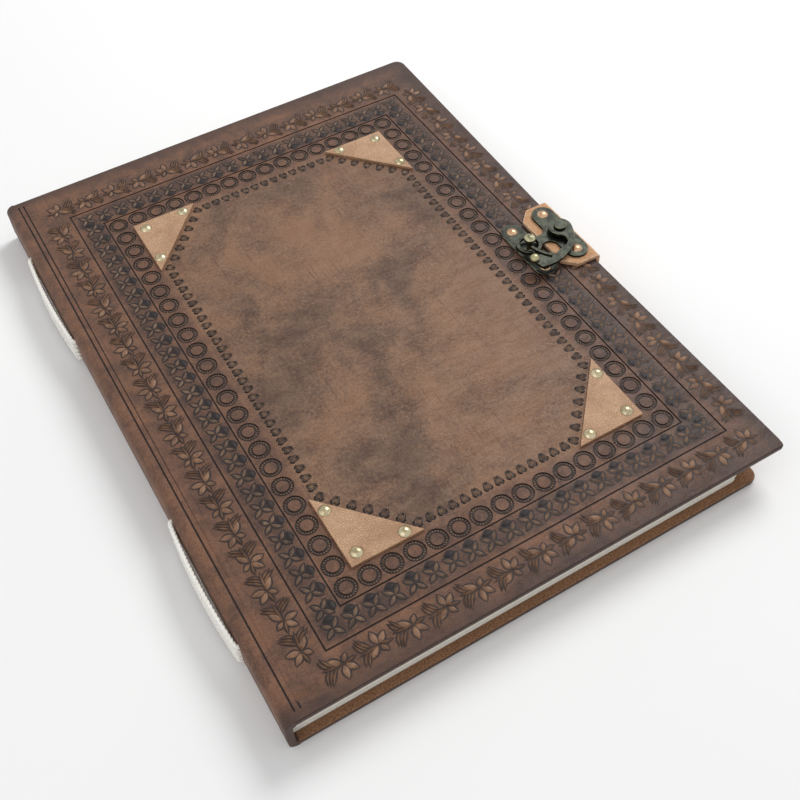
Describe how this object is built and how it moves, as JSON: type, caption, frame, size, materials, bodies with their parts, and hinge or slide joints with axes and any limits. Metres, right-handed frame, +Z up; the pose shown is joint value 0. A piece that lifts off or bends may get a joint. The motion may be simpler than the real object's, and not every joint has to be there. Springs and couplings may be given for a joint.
{
  "type": "leather guest book",
  "caption": "Flat leather-bound guest book with a tooled border, riveted corner patches, exposed long-stitch sewing and a swing-hook clasp on a strap.",
  "frame": {"origin": "on the underside of the back cover, at the middle of the book's width and height", "axes": "+X from the spine to the fore edge, +Y from the tail to the head, +Z up through the closed book"},
  "size_m": [0.249, 0.333, 0.0312],
  "materials": {
    "cover_leather": "waxed, tooled and antiqued",
    "patch_leather": "light tan with a pebbled grain",
    "strap_suede": "suede, flesh side out",
    "pages": "uncoated cotton paper",
    "cotton_cord": "twisted cotton",
    "rivet_brass": "pale antique plate",
    "antique_bronze": "dark antique plate with rubbed edges"
  },
  "bodies": {
    "back_cover": {"back_cover": "cover_leather", "strap_tail": "strap_suede", "strap_rivets": "rivet_brass"},
    "text_block": {"spine": "cover_leather", "page_block": "pages", "sewing_cord": "cotton_cord"},
    "front_cover": {"front_cover": "cover_leather", "patch_head_spine": "patch_leather", "patch_head_fore": "patch_leather", "patch_tail_spine": "patch_leather", "patch_tail_fore": "patch_leather", "patch_rivets": "rivet_brass", "catch_plate": "antique_bronze", "catch_post": "rivet_brass", "catch_rivets": "rivet_brass"},
    "clasp_flap": {"strap_flap": "strap_suede", "hasp_plate": "antique_bronze", "hasp_rivets": "rivet_brass", "hook_pivot": "antique_bronze"},
    "hook": {"swing_hook": "antique_bronze"}
  },
  "joints": [
    {"name": "back_cover_hinge", "type": "hinge", "parent": "back_cover", "child": "text_block", "pos_m": [-0.12405, 0, 0], "axis": [0, -1, 0], "range_deg": [0, 90]},
    {"name": "front_cover_hinge", "type": "hinge", "parent": "text_block", "child": "front_cover", "pos_m": [-0.11665, 0, 0.02115], "axis": [0, -1, 0], "range_deg": [0, 180]},
    {"name": "clasp_flap_hinge", "type": "hinge", "parent": "back_cover", "child": "clasp_flap", "pos_m": [0.12385, -0.0083, 0.02115], "axis": [0, 1, 0], "range_deg": [0, 180]},
    {"name": "hook_swing", "type": "hinge", "parent": "clasp_flap", "child": "hook", "pos_m": [0.1148, -0.0083, 0.0266], "axis": [0, 0, 1], "range_deg": [-14, 46]}
  ]
}
